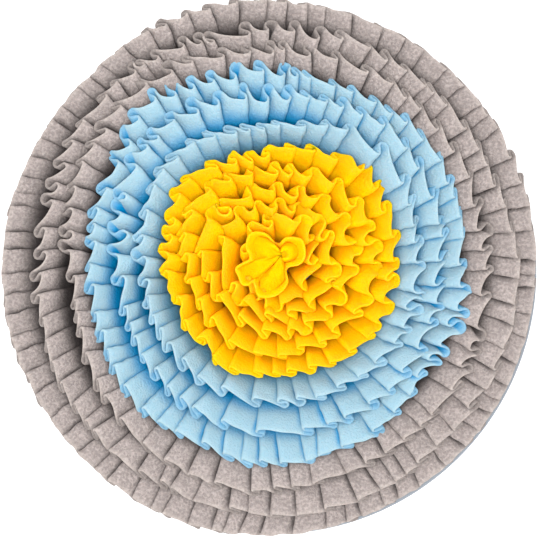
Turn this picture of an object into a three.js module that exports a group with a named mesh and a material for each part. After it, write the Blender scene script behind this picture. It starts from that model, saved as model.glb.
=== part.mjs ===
// A round snuffle mat: pleated fleece frills sewn in rings on a disc of backing cloth.
// Each frill is one strip, sewn down along its inner edge and knife-pleated all the way
// round. It leans outward over the sewn edge of the frill before it, and its free edge
// stands clear, so treats drop into the grooves between the rings.
//
// Millimetres, +Z up. The origin is the middle of the underside of the backing.

import * as THREE from "three";

// The mat and its cloth
const BACKING_RADIUS = 250;
const BACKING_THICKNESS = 2;
const BACKING_SIDES = 96;
const FLEECE_THICKNESS = 2.2;
const FRILL_WIDTH = 46; // cut width of a strip, from its sewn edge to its free edge
const GAP = 0.35; // air left between two pieces that touch

// How a strip is pleated
const SEWN_FOLD = 2.6; // half the height of a pleat where it is sewn down flat
const SEWN_DEPTH = 3.2; // reach of the sewn pleats, cloth included, below their middle
const SEWN_OVERLAP = 1.25; // overlap of the pleats at the sewn edge over that at the free edge
const FOLD_TIP = 1.5; // reach of the outer face of a fold beyond its middle line
const WIDTH_SPREAD = 0.16; // how much one pleat may be wider or narrower than the mean
const FOLD_SPREAD = 0.1; // the same for the height of a pleat
const LOOSE_TOWARDS = 137; // the pleats gape most in this direction and opposite, degrees
const OUTER_SLOPE = 8; // how far the outermost ring lifts off the backing, degrees

// The rings, from the outside in. Radii, heights and centres are in mm.
//   pleats      how many pleats the strip has
//   sewn        radius of the sewn edge, round a centre at (sewnX, sewnY)
//   free        mean radius of the free edge, round a centre at (freeX, freeY)
//   overlap     how far a pleat runs under the next one at the free edge, in mean pleats
//   flat, loose half height of a pleat at the free edge, where pressed and where it gapes
//   lobes       unevenness of the free edge: [number of lobes, depth, degrees of one lobe]
const RINGS = [
  {
    name: "frill_grey_1", cloth: "grey", pleats: 74,
    sewn: 204, sewnX: 0, sewnY: 0, free: 249, freeX: -0.6, freeY: 0.4,
    overlap: 0.36, flat: 3.4, loose: 4.2, lobes: [[2, 1.2, 59], [4, 0.6, 5], [5, 0.8, -36]],
  },
  {
    name: "frill_grey_2", cloth: "grey", pleats: 66,
    sewn: 183, sewnX: 1, sewnY: 0, free: 225, freeX: 4, freeY: -2.7,
    overlap: 0.36, flat: 3.8, loose: 5.2, lobes: [[2, 1.7, -76], [3, 1.4, -3], [5, 1.6, -5]],
  },
  {
    name: "frill_grey_3", cloth: "grey", pleats: 55,
    sewn: 162, sewnX: 2, sewnY: 1, free: 201.5, freeX: 3.6, freeY: 1.7,
    overlap: 0.32, flat: 4.2, loose: 5.4, lobes: [[2, 4.7, -82], [3, 2.8, 11], [4, 2.2, -33]],
  },
  {
    name: "frill_blue_1", cloth: "blue", pleats: 55,
    sewn: 142, sewnX: 3, sewnY: 3, free: 180, freeX: 2, freeY: 4.1,
    overlap: 0.35, flat: 4, loose: 5.8, lobes: [[2, 4.1, 89], [3, 3.4, 8], [4, 2.8, 33]],
  },
  {
    name: "frill_blue_2", cloth: "blue", pleats: 45,
    sewn: 122, sewnX: 4, sewnY: 5, free: 157.5, freeX: 7, freeY: 7.9,
    overlap: 0.34, flat: 4.4, loose: 6.6, lobes: [[2, 3.3, -77], [3, 3.2, 23], [4, 2.8, -43]],
  },
  {
    name: "frill_blue_3", cloth: "blue", pleats: 40,
    sewn: 102, sewnX: 5, sewnY: 7, free: 132.5, freeX: 8.6, freeY: 8.7,
    overlap: 0.28, flat: 4.4, loose: 6, lobes: [[3, 3, 33], [4, 3.7, -39], [5, 1.5, -17]],
  },
  {
    name: "frill_yellow_1", cloth: "yellow", pleats: 33,
    sewn: 83, sewnX: 6, sewnY: 8, free: 108.5, freeX: 8.1, freeY: 9.2,
    overlap: 0.32, flat: 4.4, loose: 6, lobes: [[2, 1.4, -8], [3, 2.6, 37], [4, 3.1, -36]],
  },
  {
    name: "frill_yellow_2", cloth: "yellow", pleats: 25,
    sewn: 66, sewnX: 6, sewnY: 8.5, free: 88.5, freeX: 6.8, freeY: 8.8,
    overlap: 0.28, flat: 4.6, loose: 5.6, lobes: [[2, 2, -18], [3, 3, 23], [4, 1.7, -27]],
  },
  {
    name: "frill_yellow_3", cloth: "yellow", pleats: 18,
    sewn: 50, sewnX: 6, sewnY: 8.5, free: 69.5, freeX: 6.2, freeY: 8.7,
    overlap: 0.2, flat: 4.6, loose: 5.6, lobes: [[2, 2.2, -13], [3, 2.4, 31]],
  },
  {
    name: "frill_yellow_4", cloth: "yellow", pleats: 14,
    sewn: 35, sewnX: 6, sewnY: 8.5, free: 53.5, freeX: 5, freeY: 8,
    overlap: 0.14, flat: 4.4, loose: 5.4, lobes: [[2, 1.6, -44], [3, 1.6, 31]],
  },
  {
    name: "frill_yellow_5", cloth: "yellow", pleats: 10,
    sewn: 21.5, sewnX: 6, sewnY: 8.5, free: 37.5, freeX: 5.5, freeY: 8.5,
    overlap: 0.08, flat: 4.2, loose: 4.8, lobes: [[2, 1.2, 71], [3, 1, 56]],
  },
  {
    name: "frill_yellow_6", cloth: "yellow", pleats: 5,
    sewn: 9, sewnX: 6, sewnY: 8.5, free: 18.5, freeX: 6, freeY: 8.5,
    overlap: -0.1, flat: 3.8, loose: 4, lobes: [[3, 0.8, 28]],
  },
];

const CLOTH = {
  grey: { color: 0xc4b7b0, roughness: 0.95, metalness: 0 },
  blue: { color: 0x9fd3ee, roughness: 0.95, metalness: 0 },
  yellow: { color: 0xfbd20a, roughness: 0.92, metalness: 0 },
  backing: { color: 0x969ba1, roughness: 0.9, metalness: 0 },
};

const TURN = 2 * Math.PI;
const radians = (degrees) => THREE.MathUtils.degToRad(degrees);

// A fixed scatter between -1 and 1, the same for the same pleat of the same ring.
function scatter(index, ring) {
  const wave = Math.sin(index * 12.9898 + ring * 78.233) * 43758.5453;
  return 2 * (wave - Math.floor(wave)) - 1;
}

// From 0, pressed flat, to 1, gaping, in a direction round the mat.
function looseness(angle) {
  return 0.5 + 0.5 * Math.cos(2 * (angle - radians(LOOSE_TOWARDS)));
}

function freeRadius(ring, angle) {
  const swell = ring.lobes.map(([count, depth, at]) => depth * Math.cos(count * (angle - radians(at))));
  return ring.free + swell.reduce((sum, part) => sum + part, 0);
}

function freeFold(ring, angle) {
  return THREE.MathUtils.lerp(ring.flat, ring.loose, looseness(angle));
}

function tallestFold(ring, angle) {
  return freeFold(ring, angle) * (1 + FOLD_SPREAD);
}

// A ring cut through in one direction: its sewn and free edges as distance from the
// mat's axis and height. Where its own width would leave it too low, it is propped up
// by the ring outside it, as the real frills prop each other up.
function cutThrough(index, angle) {
  const ring = RINGS[index];
  const [east, north] = [Math.cos(angle), Math.sin(angle)];
  const sewnReach = ring.sewn + ring.sewnX * east + ring.sewnY * north;
  const freeReach = freeRadius(ring, angle) + ring.freeX * east + ring.freeY * north;
  const run = freeReach - sewnReach;
  let slope = radians(OUTER_SLOPE);
  if (index > 0) {
    const below = cutThrough(index - 1, angle);
    const ownSlope = Math.acos(Math.min(run / FRILL_WIDTH, 1));
    slope = Math.max(ownSlope, slopeClearOf(below, ring, angle, sewnReach, run));
  }
  const sewnHeight = BACKING_THICKNESS + GAP + SEWN_DEPTH * Math.cos(slope);
  const freeHeight = sewnHeight + run * Math.tan(slope);
  return { ring, sewnReach, freeReach, sewnHeight, freeHeight, slope };
}

// The least slope that keeps a ring's pleats clear of the ring below it, both at that
// ring's sewn edge and at its own free edge.
function slopeClearOf(below, ring, angle, sewnReach, run) {
  const pitch = below.sewnReach - sewnReach;
  const ownFold = tallestFold(ring, angle);
  const midFold = THREE.MathUtils.lerp(SEWN_FOLD, ownFold, pitch / run);
  const tips = 2 * FOLD_TIP + GAP;
  const atSewnEdge = Math.asin(Math.min((midFold + SEWN_FOLD + tips) / pitch, 1));
  const share = (sewnReach + run - below.sewnReach) / (below.freeReach - below.sewnReach);
  const belowHeight = THREE.MathUtils.lerp(below.sewnHeight, below.freeHeight, share);
  const belowFold = THREE.MathUtils.lerp(SEWN_FOLD, tallestFold(below.ring, angle), share);
  const rise = belowHeight - below.sewnHeight + (ownFold + belowFold + tips) / Math.cos(below.slope);
  return Math.max(atSewnEdge, Math.atan(rise / run));
}

// Where each pleat's upper fold lies, as angles round the ring.
function pleatAngles(ring, index) {
  const widths = Array.from({ length: ring.pleats }, (_, k) => 1 + WIDTH_SPREAD * scatter(k, index));
  const whole = widths.reduce((sum, width) => sum + width, 0);
  let passed = 0;
  return widths.map((width) => {
    const angle = (passed / whole) * TURN;
    passed += width;
    return angle;
  });
}

// The folds of a strip in order: the upper fold that a pleat starts with, then the lower
// fold where it turns back under the next pleat. across is the strip's place from its
// sewn edge (0) to its free edge (1), and the heights are measured from its middle.
function foldLine(ring, index, across) {
  const starts = pleatAngles(ring, index);
  const overlap = (TURN / ring.pleats) * ring.overlap * THREE.MathUtils.lerp(SEWN_OVERLAP, 1, across);
  const line = [];
  starts.forEach((start, k) => {
    const end = k + 1 < starts.length ? starts[k + 1] : TURN;
    const spread = 1 + FOLD_SPREAD * scatter(k, index + RINGS.length) * across;
    const fold = THREE.MathUtils.lerp(SEWN_FOLD, freeFold(ring, start), across) * spread;
    line.push({ angle: start, height: fold });
    line.push({ angle: end + overlap, height: -fold });
  });
  return line;
}

// The two faces of the cloth at one fold of a line: its middle moved half a thickness to
// either side, mitred at the fold, with the sharp outer tip cut back to FOLD_TIP.
function clothFaces(line, at, radius) {
  const count = line.length;
  const here = line[at];
  const flat = (k) => {
    const fold = line[(k + count) % count];
    const wrap = Math.floor(k / count) * TURN;
    return new THREE.Vector2((fold.angle + wrap) * radius, fold.height);
  };
  const middle = flat(at);
  const arriving = middle.clone().sub(flat(at - 1)).normalize();
  const leaving = flat(at + 1).sub(middle).normalize();
  const bisector = new THREE.Vector2(-arriving.y - leaving.y, arriving.x + leaving.x);
  const mitre = FLEECE_THICKNESS / 2 / (1 + arriving.dot(leaving));
  const inner = bisector.multiplyScalar(mitre);
  const outer = inner.clone().clampLength(0, FOLD_TIP);
  const upperFold = here.height > 0;
  const left = upperFold ? outer : inner;
  const right = (upperFold ? inner : outer).clone().negate();
  return [left, right].map((offset) => ({
    angle: here.angle + offset.x / radius,
    height: here.height + offset.y,
  }));
}

// A point of a ring's cloth in space.
function placeOnRing(index, across, angle, height) {
  const cut = cutThrough(index, angle);
  const { ring, slope } = cut;
  const radius = THREE.MathUtils.lerp(ring.sewn, freeRadius(ring, angle), across);
  const centreX = THREE.MathUtils.lerp(ring.sewnX, ring.freeX, across);
  const centreY = THREE.MathUtils.lerp(ring.sewnY, ring.freeY, across);
  const reach = radius - height * Math.sin(slope);
  return new THREE.Vector3(
    centreX + reach * Math.cos(angle),
    centreY + reach * Math.sin(angle),
    THREE.MathUtils.lerp(cut.sewnHeight, cut.freeHeight, across) + height * Math.cos(slope),
  );
}

// One pleated strip as a closed sheet. Four rows of points run round it: the sewn edge
// and the free edge of its left face, then those of its right face.
function makeFrill(ring, index) {
  const edges = [
    { line: foldLine(ring, index, 0), across: 0, radius: ring.sewn },
    { line: foldLine(ring, index, 1), across: 1, radius: ring.free },
  ];
  const rows = [[], [], [], []];
  const columns = edges[0].line.length;
  for (let at = 0; at < columns; at += 1) {
    edges.forEach(({ line, across, radius }, edge) => {
      clothFaces(line, at, radius).forEach(({ angle, height }, face) => {
        rows[2 * face + edge].push(placeOnRing(index, across, angle, height));
      });
    });
  }
  return closedBand(rows, columns);
}

// Joins the four rows of points, taken in order round the strip's section, into one
// closed surface. Every four-sided patch is split from the sewn edge of an upper fold to
// the free edge of a lower one, so that both faces of the cloth bend the same way.
function closedBand(rows, columns) {
  const [leftSewn, leftFree, rightSewn, rightFree] = rows;
  const section = [leftSewn, leftFree, rightFree, rightSewn];
  const positions = section.flat().flatMap((point) => point.toArray());
  const triangles = [];
  section.forEach((row, side) => {
    const next = (side + 1) % section.length;
    const sewn = row === leftSewn || row === rightSewn;
    for (let at = 0; at < columns; at += 1) {
      const upper = at % 2 === 0;
      const after = (at + 1) % columns;
      const [a, b] = [side * columns + at, next * columns + at];
      const [c, d] = [next * columns + after, side * columns + after];
      triangles.push(...(sewn === upper ? [a, b, c, a, c, d] : [a, b, d, b, c, d]));
    }
  });
  const geometry = new THREE.BufferGeometry();
  geometry.setAttribute("position", new THREE.Float32BufferAttribute(positions, 3));
  geometry.setIndex(triangles);
  return geometry;
}

function makeBacking() {
  const disc = new THREE.CylinderGeometry(BACKING_RADIUS, BACKING_RADIUS, BACKING_THICKNESS, BACKING_SIDES);
  disc.rotateX(Math.PI / 2);
  disc.translate(0, 0, BACKING_THICKNESS / 2);
  return disc;
}

function namedMesh(name, geometry, cloth) {
  const mesh = new THREE.Mesh(geometry, new THREE.MeshStandardMaterial(CLOTH[cloth]));
  mesh.name = name;
  return mesh;
}

const mat = new THREE.Group();
mat.add(namedMesh("backing", makeBacking(), "backing"));
RINGS.forEach((ring, index) => mat.add(namedMesh(ring.name, makeFrill(ring, index), ring.cloth)));

export default mat;
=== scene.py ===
"""Looks of a round snuffle mat: pleated fleece frills sewn in rings on a disc of cloth.

Metres, +Z up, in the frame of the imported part: the origin is the middle of the underside
of the backing. Every frill is one closed sheet of fleece, folded pleat by pleat along a
line of faces, crests, returns and folds, and leaning on the frill outside it.
"""

import logging
import math
from dataclasses import dataclass, field
from enum import Enum

import bpy
import numpy as np
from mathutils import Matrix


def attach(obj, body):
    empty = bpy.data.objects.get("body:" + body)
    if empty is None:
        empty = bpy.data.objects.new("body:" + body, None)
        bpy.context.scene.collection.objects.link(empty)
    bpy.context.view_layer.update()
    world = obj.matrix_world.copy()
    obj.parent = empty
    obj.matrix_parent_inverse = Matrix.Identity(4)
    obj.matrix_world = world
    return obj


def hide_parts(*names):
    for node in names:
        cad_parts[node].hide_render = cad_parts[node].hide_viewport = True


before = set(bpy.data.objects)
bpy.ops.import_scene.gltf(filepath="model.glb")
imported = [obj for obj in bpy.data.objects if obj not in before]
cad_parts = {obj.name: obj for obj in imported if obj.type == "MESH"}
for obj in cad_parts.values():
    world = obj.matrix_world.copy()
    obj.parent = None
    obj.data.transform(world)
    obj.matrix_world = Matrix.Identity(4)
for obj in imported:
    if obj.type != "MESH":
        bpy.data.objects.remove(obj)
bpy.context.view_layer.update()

LOG = logging.getLogger("snuffle_mat")

MM = 0.001
TURN = 2.0 * math.pi
Array = np.ndarray


def lerp(low: Array | float, high: Array | float, share: Array | float) -> Array | float:
    """Blend from low, where share is 0, to high, where it is 1."""
    return low + (high - low) * share


def smooth(low: float, high: float, value: Array | float) -> Array | float:
    """Rise smoothly from 0 at low to 1 at high."""
    share = np.clip((value - low) / (high - low), 0.0, 1.0)
    return share * share * (3.0 - 2.0 * share)


def turn_apart(angle: Array, degrees: float) -> Array:
    """Give the angle from a direction in degrees, in radians between -pi and pi."""
    return (angle - math.radians(degrees) + math.pi) % TURN - math.pi


def calmed(values: Array) -> Array:
    """Average each value a little with its neighbours round a ring."""
    return 0.5 * values + 0.25 * (np.roll(values, 1) + np.roll(values, -1))


class Cloth(Enum):
    """The cloths of the mat, by the record's material slot."""

    GREY = "fleece_grey"
    BLUE = "fleece_blue"
    YELLOW = "fleece_yellow"
    BACKING = "backing_cloth"


# ---------------------------------------------------------------------------------------
# Finishes
# ---------------------------------------------------------------------------------------


class NodeSheet:
    """A material's node tree, with short ways to add and join nodes."""

    def __init__(self, name: str) -> None:
        """Start an empty tree with a shader and an output.

        Args:
            name: The material's name.
        """
        self.material = bpy.data.materials.new(name)
        self.material.use_nodes = True
        self.tree = self.material.node_tree
        self.tree.nodes.clear()
        self.shader = self.add("ShaderNodeBsdfPrincipled")
        output = self.add("ShaderNodeOutputMaterial")
        self.join(self.shader.outputs["BSDF"], output.inputs["Surface"])

    def add(self, kind: str, **values: object) -> bpy.types.Node:
        """Add a node.

        Args:
            kind: The node's Blender type name.
            values: Properties to set on it, by name.

        Returns:
            The new node.
        """
        node = self.tree.nodes.new(kind)
        for key, value in values.items():
            setattr(node, key, value)
        return node

    def join(self, source: bpy.types.NodeSocket, target: bpy.types.NodeSocket) -> None:
        """Link one socket to another."""
        self.tree.links.new(source, target)

    def noise(self, size: float, detail: float = 2.0, rough: float = 0.5) -> bpy.types.NodeSocket:
        """Add a cloud of noise in the object's own space.

        Args:
            size: Width of one patch in metres.
            detail: Levels of finer noise in it.
            rough: How strong the finer levels are.

        Returns:
            The noise value's socket.
        """
        place = self.add("ShaderNodeTexCoord")
        cloud = self.add("ShaderNodeTexNoise")
        cloud.inputs["Scale"].default_value = 1.0 / size
        cloud.inputs["Detail"].default_value = detail
        cloud.inputs["Roughness"].default_value = rough
        self.join(place.outputs["Object"], cloud.inputs["Vector"])
        return cloud.outputs["Fac"]

    def spread(self, source: bpy.types.NodeSocket, low: float, high: float) -> bpy.types.NodeSocket:
        """Stretch the span from low to high of a value to 0 to 1.

        Args:
            source: The value.
            low: What becomes 0.
            high: What becomes 1.

        Returns:
            The stretched value's socket.
        """
        span = self.add("ShaderNodeMapRange", clamp=True)
        span.inputs["From Min"].default_value = low
        span.inputs["From Max"].default_value = high
        self.join(source, span.inputs["Value"])
        return span.outputs["Result"]

    def fix(self, levels: dict[str, object]) -> None:
        """Set sockets of the shader, by name, to what is the same all over the cloth."""
        for socket, level in levels.items():
            self.shader.inputs[socket].default_value = level

    def reading(self, name: str) -> bpy.types.NodeSocket:
        """Give a value that the mesh carries at its points, by name."""
        return self.add("ShaderNodeAttribute", attribute_name=name).outputs["Fac"]

    def scaled(self, source: bpy.types.NodeSocket, factor: float) -> bpy.types.NodeSocket:
        """Multiply a value by a factor.

        Args:
            source: The value.
            factor: The factor.

        Returns:
            The product's socket.
        """
        product = self.add("ShaderNodeMath", operation="MULTIPLY")
        self.join(source, product.inputs[0])
        product.inputs[1].default_value = factor
        return product.outputs["Value"]

    def blend(
        self, share: bpy.types.NodeSocket, low: object, high: object
    ) -> bpy.types.NodeSocket:
        """Mix two colours.

        Args:
            share: 0 for the first colour, 1 for the second.
            low: The first colour, as three numbers or a socket.
            high: The second, likewise.

        Returns:
            The mixed colour's socket.
        """
        mix = self.add("ShaderNodeMix", data_type="RGBA")
        self.join(share, mix.inputs[0])
        for socket, colour in ((mix.inputs[6], low), (mix.inputs[7], high)):
            if isinstance(colour, bpy.types.NodeSocket):
                self.join(colour, socket)
            else:
                socket.default_value = (*colour, 1.0)
        return mix.outputs[2]

    def bump(self, layers: list[tuple[bpy.types.NodeSocket, float]]) -> None:
        """Raise the surface by several layers of height.

        Args:
            layers: Each layer's height value and its height in metres.
        """
        last = None
        for height, distance in layers:
            relief = self.add("ShaderNodeBump")
            relief.inputs["Strength"].default_value = 1.0
            relief.inputs["Distance"].default_value = distance
            self.join(height, relief.inputs["Height"])
            if last is not None:
                self.join(last, relief.inputs["Normal"])
            last = relief.outputs["Normal"]
        self.join(last, self.shader.inputs["Normal"])


@dataclass(frozen=True)
class FleeceFinish:
    """A brushed fleece: a matt pile that clumps, with painted shade and bounce light in its
    folds and a tone of its own towards the cut edges.

    Attributes:
        name: The material's name.
        face: Colour of the open faces.
        clump: Colour between the clumps of pile.
        fold: Painted colour of the shade and bounced light deep in the folds.
        edge: Colour towards the cut edge: paler on grey and blue; on yellow darker,
            painted shade over the lit outer part of each strip.
        painted_shade_share: How much of the painted fold shade shows where it is deepest.
        clump_size: Width of a clump of pile in metres.
        clump_share: How much the clumps show in the colour.
        pile_height: Height of the clumps in metres.
        sheen: Strength of the soft light along the pile.
        soak: Share of the light that soaks into the cloth.
        glow: How far light soaks through the cloth, in metres, for red, green and blue.
        clump_detail: Levels of finer clumps in the clumps.
        clump_rough: How strong the finer levels are.
        clump_span: The stretch of the clumps' noise that goes from clump to gap.
        clump_trimmed: How much of the clumps is left on the cut edge, from 0 to 1.
        patch_size: Width of the wider, fainter patches in metres.
        patch_span: The stretch of their noise that goes from patch to patch.
        patch_share: How much the patches show in the colour.
        fibre_size: Width of a tuft of fibres in metres.
        fibre_rough: How strong the single fibres are in a tuft.
        fibre_height: Height of the tufts in metres.
        roughness: How matt the pile is, from 0 to 1.
        gloss: Strength of the light that the fibres mirror.
        sheen_spread: How widely the soft light along the pile spreads.
    """

    name: str
    face: tuple[float, float, float]
    clump: tuple[float, float, float]
    fold: tuple[float, float, float]
    edge: tuple[float, float, float]
    painted_shade_share: float
    clump_size: float
    clump_share: float
    pile_height: float
    sheen: float
    soak: float
    glow: tuple[float, float, float]
    clump_detail: float = 3.0
    clump_rough: float = 0.65
    clump_span: tuple[float, float] = (0.38, 0.62)
    clump_trimmed: float = 0.5
    patch_size: float = 18 * MM
    patch_span: tuple[float, float] = (0.3, 0.7)
    patch_share: float = 0.2
    fibre_size: float = 0.5 * MM
    fibre_rough: float = 0.7
    fibre_height: float = 0.15 * MM
    roughness: float = 0.95
    gloss: float = 0.06
    sheen_spread: float = 0.6

    def material(self) -> bpy.types.Material:
        """Build the material.

        Returns:
            The finished material.
        """
        sheet = NodeSheet(self.name)
        clumps = sheet.noise(self.clump_size, self.clump_detail, self.clump_rough)
        clumps = sheet.spread(clumps, *self.clump_span)
        patches = sheet.spread(sheet.noise(self.patch_size), *self.patch_span)
        fibres = sheet.noise(self.fibre_size, rough=self.fibre_rough)
        face = sheet.blend(sheet.scaled(clumps, self.clump_share), self.face, self.clump)
        uneven = sheet.blend(sheet.scaled(patches, self.patch_share), face, self.clump)
        left = sheet.scaled(clumps, self.clump_trimmed * self.clump_share)
        # Edge tone: paler on grey and blue; on yellow darker, painted shade over the lit outer part
        # of each strip.
        rim = sheet.blend(left, self.edge, self.clump)
        toned = sheet.blend(sheet.reading("edge"), uneven, rim)
        # Painted shade: the mesh's depth value blends in the fold colour, standing in for shade and
        # bounced light in folds, gaps and pockets.
        shade = sheet.scaled(sheet.reading("depth"), self.painted_shade_share)
        colour = sheet.blend(shade, toned, self.fold)
        sheet.join(colour, sheet.shader.inputs["Base Color"])
        sheet.bump([(fibres, self.fibre_height), (clumps, self.pile_height)])
        sheet.fix(
            {
                "Roughness": self.roughness,
                "Specular IOR Level": self.gloss,
                "Sheen Weight": self.sheen,
                "Sheen Roughness": self.sheen_spread,
                "Sheen Tint": (*self.face, 1.0),
                "Subsurface Weight": self.soak,
                "Subsurface Scale": 1.0,
                "Subsurface Radius": self.glow,
            }
        )
        return sheet.material


@dataclass(frozen=True)
class WovenFinish:
    """A plain woven cloth.

    Attributes:
        name: The material's name.
        light: Colour of the threads on top.
        dark: Colour between the threads.
        thread: Width of a thread in metres.
        wander: How much the threads stray from straight lines.
        weave_share: How much the weave shows in the colour.
        relief: Height of the weave in metres.
        patch_size: Width of faint darker patches in metres.
        patch_span: The stretch of their noise that goes from patch to patch.
        patch_share: How much the patches show in the colour.
        roughness: How matt the cloth is, from 0 to 1.
        sheen: Strength of the soft light along its threads.
    """

    name: str
    light: tuple[float, float, float]
    dark: tuple[float, float, float]
    thread: float
    wander: float = 0.6
    weave_share: float = 0.6
    relief: float = 0.12 * MM
    patch_size: float = 9 * MM
    patch_span: tuple[float, float] = (0.3, 0.7)
    patch_share: float = 0.25
    roughness: float = 0.85
    sheen: float = 0.1

    def material(self) -> bpy.types.Material:
        """Build the material.

        Returns:
            The finished material.
        """
        sheet = NodeSheet(self.name)
        place = sheet.add("ShaderNodeTexCoord")
        weave = sheet.add("ShaderNodeMath", operation="MULTIPLY")
        for way, axis in enumerate(("X", "Y")):
            wave = sheet.add("ShaderNodeTexWave", bands_direction=axis)
            wave.inputs["Scale"].default_value = 1.0 / (self.thread * TURN)
            wave.inputs["Distortion"].default_value = self.wander
            sheet.join(place.outputs["Object"], wave.inputs["Vector"])
            sheet.join(wave.outputs["Fac"], weave.inputs[way])
        height = weave.outputs["Value"]
        patches = sheet.spread(sheet.noise(self.patch_size, 3.0), *self.patch_span)
        plain = sheet.blend(sheet.scaled(height, self.weave_share), self.dark, self.light)
        colour = sheet.blend(sheet.scaled(patches, self.patch_share), plain, self.dark)
        sheet.join(colour, sheet.shader.inputs["Base Color"])
        sheet.bump([(height, self.relief)])
        sheet.fix({"Roughness": self.roughness, "Sheen Weight": self.sheen})
        return sheet.material


@dataclass(frozen=True)
class ThreadFinish:
    """A twisted sewing thread.

    Attributes:
        name: The material's name.
        colour: The thread's colour.
        twist: Width of a turn of the twist in metres.
        shaded: How light the thread is between the turns, against its own colour.
        roughness: How matt it is, from 0 to 1.
        sheen: Strength of the soft light along it.
    """

    name: str
    colour: tuple[float, float, float]
    twist: float = 0.4 * MM
    shaded: float = 0.75
    roughness: float = 0.6
    sheen: float = 0.2

    def material(self) -> bpy.types.Material:
        """Build the material.

        Returns:
            The finished material.
        """
        sheet = NodeSheet(self.name)
        twist = sheet.noise(self.twist, 1.0)
        shade = tuple(self.shaded * part for part in self.colour)
        sheet.join(sheet.blend(twist, self.colour, shade), sheet.shader.inputs["Base Color"])
        sheet.fix({"Roughness": self.roughness, "Sheen Weight": self.sheen})
        return sheet.material


# Fold colours are painted shade and bounced light: near black for grey, deep blue for blue, a
# lighter orange for yellow.
FINISHES = {
    Cloth.GREY: FleeceFinish(
        name="grey_fleece",
        face=(0.355, 0.309, 0.292),
        clump=(0.14, 0.12, 0.117),
        fold=(0.022, 0.018, 0.018),
        edge=(0.37, 0.325, 0.302),
        painted_shade_share=0.97,
        clump_size=2.6 * MM,
        clump_share=0.6,
        pile_height=0.7 * MM,
        sheen=0.08,
        soak=0.4,
        glow=(1.2 * MM, 1.0 * MM, 0.9 * MM),
    ),
    Cloth.BLUE: FleeceFinish(
        name="blue_fleece",
        face=(0.272, 0.392, 0.455),
        clump=(0.205, 0.375, 0.465),
        fold=(0.0, 0.225, 0.47),
        edge=(0.30, 0.42, 0.47),
        painted_shade_share=1.0,
        clump_size=2.0 * MM,
        clump_share=0.45,
        pile_height=0.5 * MM,
        sheen=0.0,
        soak=0.4,
        glow=(0.8 * MM, 1.4 * MM, 2.0 * MM),
    ),
    Cloth.YELLOW: FleeceFinish(
        name="yellow_fleece",
        face=(0.96, 0.36, 0.0),
        clump=(0.96, 0.355, 0.0),
        fold=(0.97, 0.45, 0.0),
        edge=(0.94, 0.33, 0.006),
        painted_shade_share=0.9,
        clump_size=2.0 * MM,
        clump_share=0.3,
        pile_height=0.25 * MM,
        sheen=0.0,
        soak=1.0,
        glow=(12.0 * MM, 8.0 * MM, 0.4 * MM),
    ),
}
BACKING_FINISH = WovenFinish(
    name="grey_backing",
    light=(0.30, 0.33, 0.36),
    dark=(0.20, 0.22, 0.245),
    thread=0.9 * MM,
)
THREAD_FINISH = ThreadFinish(name="grey_thread", colour=(0.42, 0.41, 0.40))


# ---------------------------------------------------------------------------------------
# Cloth meshes
# ---------------------------------------------------------------------------------------


def new_piece(
    name: str,
    points: Array,
    faces: list[list[int]],
    material: bpy.types.Material,
    rounded: bool,
) -> bpy.types.Object:
    """Make an object from points and faces, and put it in the scene.

    Args:
        name: The object's name.
        points: Its points in metres, one to a row.
        faces: The numbers of each face's points.
        material: What it is made of.
        rounded: Whether light runs smoothly over its faces.

    Returns:
        The new object.
    """
    mesh = bpy.data.meshes.new(name)
    mesh.from_pydata(points, [], faces)
    mesh.polygons.foreach_set("use_smooth", np.full(len(mesh.polygons), rounded))
    mesh.materials.append(material)
    mesh.update()
    piece = bpy.data.objects.new(name, mesh)
    bpy.context.scene.collection.objects.link(piece)
    return piece


@dataclass
class ClothMesh:
    """A closed sheet of cloth, made from a grid of points on its middle surface.

    Attributes:
        name: The piece's name.
        points: The grid in metres: closed round its first index, open along its second.
        half: Half the cloth's thickness for each row of the second index.
        values: Numbers that the mesh carries at its points, each a grid, by name.
    """

    name: str
    points: Array
    half: Array
    values: dict[str, Array]

    def normals(self) -> Array:
        """Work out the grid's normals.

        Returns:
            A unit normal for each point.
        """
        around = np.roll(self.points, -1, axis=0) - np.roll(self.points, 1, axis=0)
        across = np.gradient(self.points, axis=1)
        normal = np.cross(around, across)
        length = np.linalg.norm(normal, axis=2, keepdims=True)
        return normal / np.maximum(length, 1e-12)

    def build(self, material: bpy.types.Material) -> bpy.types.Object:
        """Make the object.

        Args:
            material: What it is made of.

        Returns:
            The new object, in the scene.
        """
        offset = self.normals() * self.half[None, :, None]
        section = np.concatenate([self.points + offset, (self.points - offset)[:, ::-1]], axis=1)
        columns, rows = section.shape[:2]
        at = np.arange(columns * rows).reshape(columns, rows)
        after = np.roll(at, -1, axis=0)
        faces = np.stack([at, after, np.roll(after, -1, axis=1), np.roll(at, -1, axis=1)], axis=2)
        points = section.reshape(-1, 3)
        piece = new_piece(self.name, points, faces.reshape(-1, 4).tolist(), material, True)
        for name, grid in self.values.items():
            both = np.concatenate([grid, grid[:, ::-1]], axis=1)
            layer = piece.data.attributes.new(name, "FLOAT", "POINT")
            layer.data.foreach_set("value", both.ravel().astype(np.float32))
        return piece


# ---------------------------------------------------------------------------------------
# The rings of frills
# ---------------------------------------------------------------------------------------


@dataclass(frozen=True)
class Lobe:
    """An even swell of a free edge.

    Attributes:
        count: How many lobes go round the ring.
        depth: How far each swells out and draws in, in mm.
        at: The direction of one of them, in degrees.
    """

    count: int
    depth: float
    at: float


@dataclass(frozen=True)
class Spot:
    """A stretch of a ring that differs from the rest.

    Attributes:
        at: Its middle, in degrees.
        reach: Half its width, in degrees.
        amount: How much it differs in its middle.
        fade: Where the amount begins to fade and where it is gone, against the reach.
    """

    at: float
    reach: float
    amount: float
    fade: tuple[float, float] = (0.45, 1.25)

    def along(self, angle: Array) -> Array:
        """Fade the amount in and out.

        Args:
            angle: Directions in radians.

        Returns:
            The amount in each direction.
        """
        away = np.abs(turn_apart(angle, self.at)) / math.radians(self.reach)
        return self.amount * (1.0 - smooth(*self.fade, away))


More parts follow.
